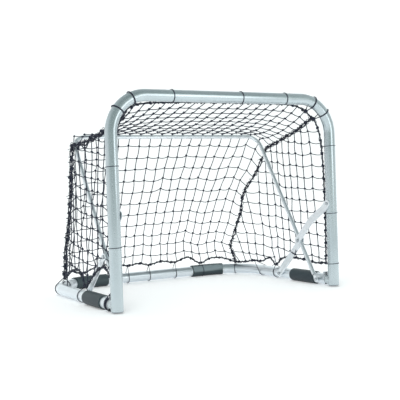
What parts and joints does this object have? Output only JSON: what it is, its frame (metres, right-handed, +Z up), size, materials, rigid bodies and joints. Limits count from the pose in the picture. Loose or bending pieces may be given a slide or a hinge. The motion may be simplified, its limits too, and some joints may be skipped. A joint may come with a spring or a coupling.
{
  "type": "folding hockey practice goal",
  "caption": "Small free-standing goal of round aluminium tube with a knotted cord net, rubber sleeves on its floor frame and hinged posts that fold back flat.",
  "frame": {"origin": "on the floor at the middle of the footprint", "axes": "+Z up, +X across the mouth, +Y from the mouth to the back of the net"},
  "size_m": [1.1056, 0.8176, 0.8478],
  "materials": {
    "tube": "satin anodised",
    "bar": "bright satin",
    "steel": "zinc plated",
    "dark_steel": "blackened",
    "sleeve": "matt slate grey rubber",
    "plug": "grey moulded plastic",
    "net": "knotted black cord"
  },
  "bodies": {
    "base_frame": {"base_frame_tube": "tube", "rear_hinge_leaf_left": "steel", "rear_hinge_leaf_right": "steel", "hinge_pin_left": "dark_steel", "hinge_pin_right": "dark_steel", "foot_lock_pin_left": "dark_steel", "foot_lock_pin_right": "dark_steel", "arm_end_plug_left": "plug", "arm_end_plug_right": "plug", "arm_sleeve_left": "sleeve", "arm_sleeve_right": "sleeve", "rear_sleeve_left": "sleeve", "rear_sleeve_right": "sleeve", "support_bolt_left": "steel", "support_bolt_right": "steel", "support_spacer_left": "steel", "support_spacer_right": "steel", "lower_brace_bolt_left": "steel", "lower_brace_bolt_right": "steel", "lower_brace_spacer_left": "steel", "lower_brace_spacer_right": "steel", "side_net_left": "net", "side_net_right": "net", "top_net": "net", "back_net": "net", "top_seam_cord_left": "net", "top_seam_cord_right": "net", "back_seam_cord_left": "net", "back_seam_cord_right": "net", "foot_cord_left": "net", "foot_cord_right": "net", "back_foot_cord": "net"},
    "front_frame": {"goal_frame_tube": "tube", "post_foot_plug_left": "plug", "post_foot_plug_right": "plug", "foot_stub_left": "tube", "foot_stub_right": "tube", "front_hinge_leaf_left": "steel", "front_hinge_leaf_right": "steel", "upper_brace_bolt_left": "steel", "upper_brace_bolt_right": "steel", "mouth_cord": "net"},
    "support_frame": {"support_frame_tube": "bar"},
    "upper_brace_left": {"upper_brace_left": "bar", "elbow_bolt_left": "steel"},
    "upper_brace_right": {"upper_brace_right": "bar", "elbow_bolt_right": "steel"},
    "lower_brace_left": {"lower_brace_left": "bar", "elbow_nut_left": "steel"},
    "lower_brace_right": {"lower_brace_right": "bar", "elbow_nut_right": "steel"}
  },
  "joints": [
    {"name": "fold", "type": "hinge", "parent": "base_frame", "child": "front_frame", "pos_m": [0, -0.351, 0.05825], "axis": [-1, 0, 0], "range_deg": [0, 85], "deforming": ["side_net_left", "side_net_right", "top_net", "back_net", "top_seam_cord_left", "top_seam_cord_right", "back_seam_cord_left", "back_seam_cord_right", "foot_cord_left", "foot_cord_right", "back_foot_cord", "mouth_cord"]},
    {"name": "support_fold", "type": "hinge", "parent": "base_frame", "child": "support_frame", "pos_m": [0, -0.315, 0.02875], "axis": [-1, 0, 0], "range_deg": [0, 52]},
    {"name": "upper_brace_turn_left", "type": "hinge", "parent": "front_frame", "child": "upper_brace_left", "pos_m": [-0.498, -0.385, 0.368], "axis": [-1, 0, 0], "range_deg": [0, 42]},
    {"name": "upper_brace_turn_right", "type": "hinge", "parent": "front_frame", "child": "upper_brace_right", "pos_m": [0.498, -0.385, 0.368], "axis": [-1, 0, 0], "range_deg": [0, 42]},
    {"name": "lower_brace_turn_left", "type": "hinge", "parent": "base_frame", "child": "lower_brace_left", "pos_m": [-0.493, -0.019, 0.02875], "axis": [1, 0, 0], "range_deg": [0, 35]},
    {"name": "lower_brace_turn_right", "type": "hinge", "parent": "base_frame", "child": "lower_brace_right", "pos_m": [0.493, -0.019, 0.02875], "axis": [1, 0, 0], "range_deg": [0, 35]}
  ],
  "couplings": [
    {"joint": "support_fold", "follows": "fold", "ratio": 0.61},
    {"joint": "upper_brace_turn_left", "follows": "fold", "ratio": 0.49},
    {"joint": "upper_brace_turn_right", "follows": "fold", "ratio": 0.49},
    {"joint": "lower_brace_turn_left", "follows": "fold", "ratio": 0.41},
    {"joint": "lower_brace_turn_right", "follows": "fold", "ratio": 0.41}
  ]
}
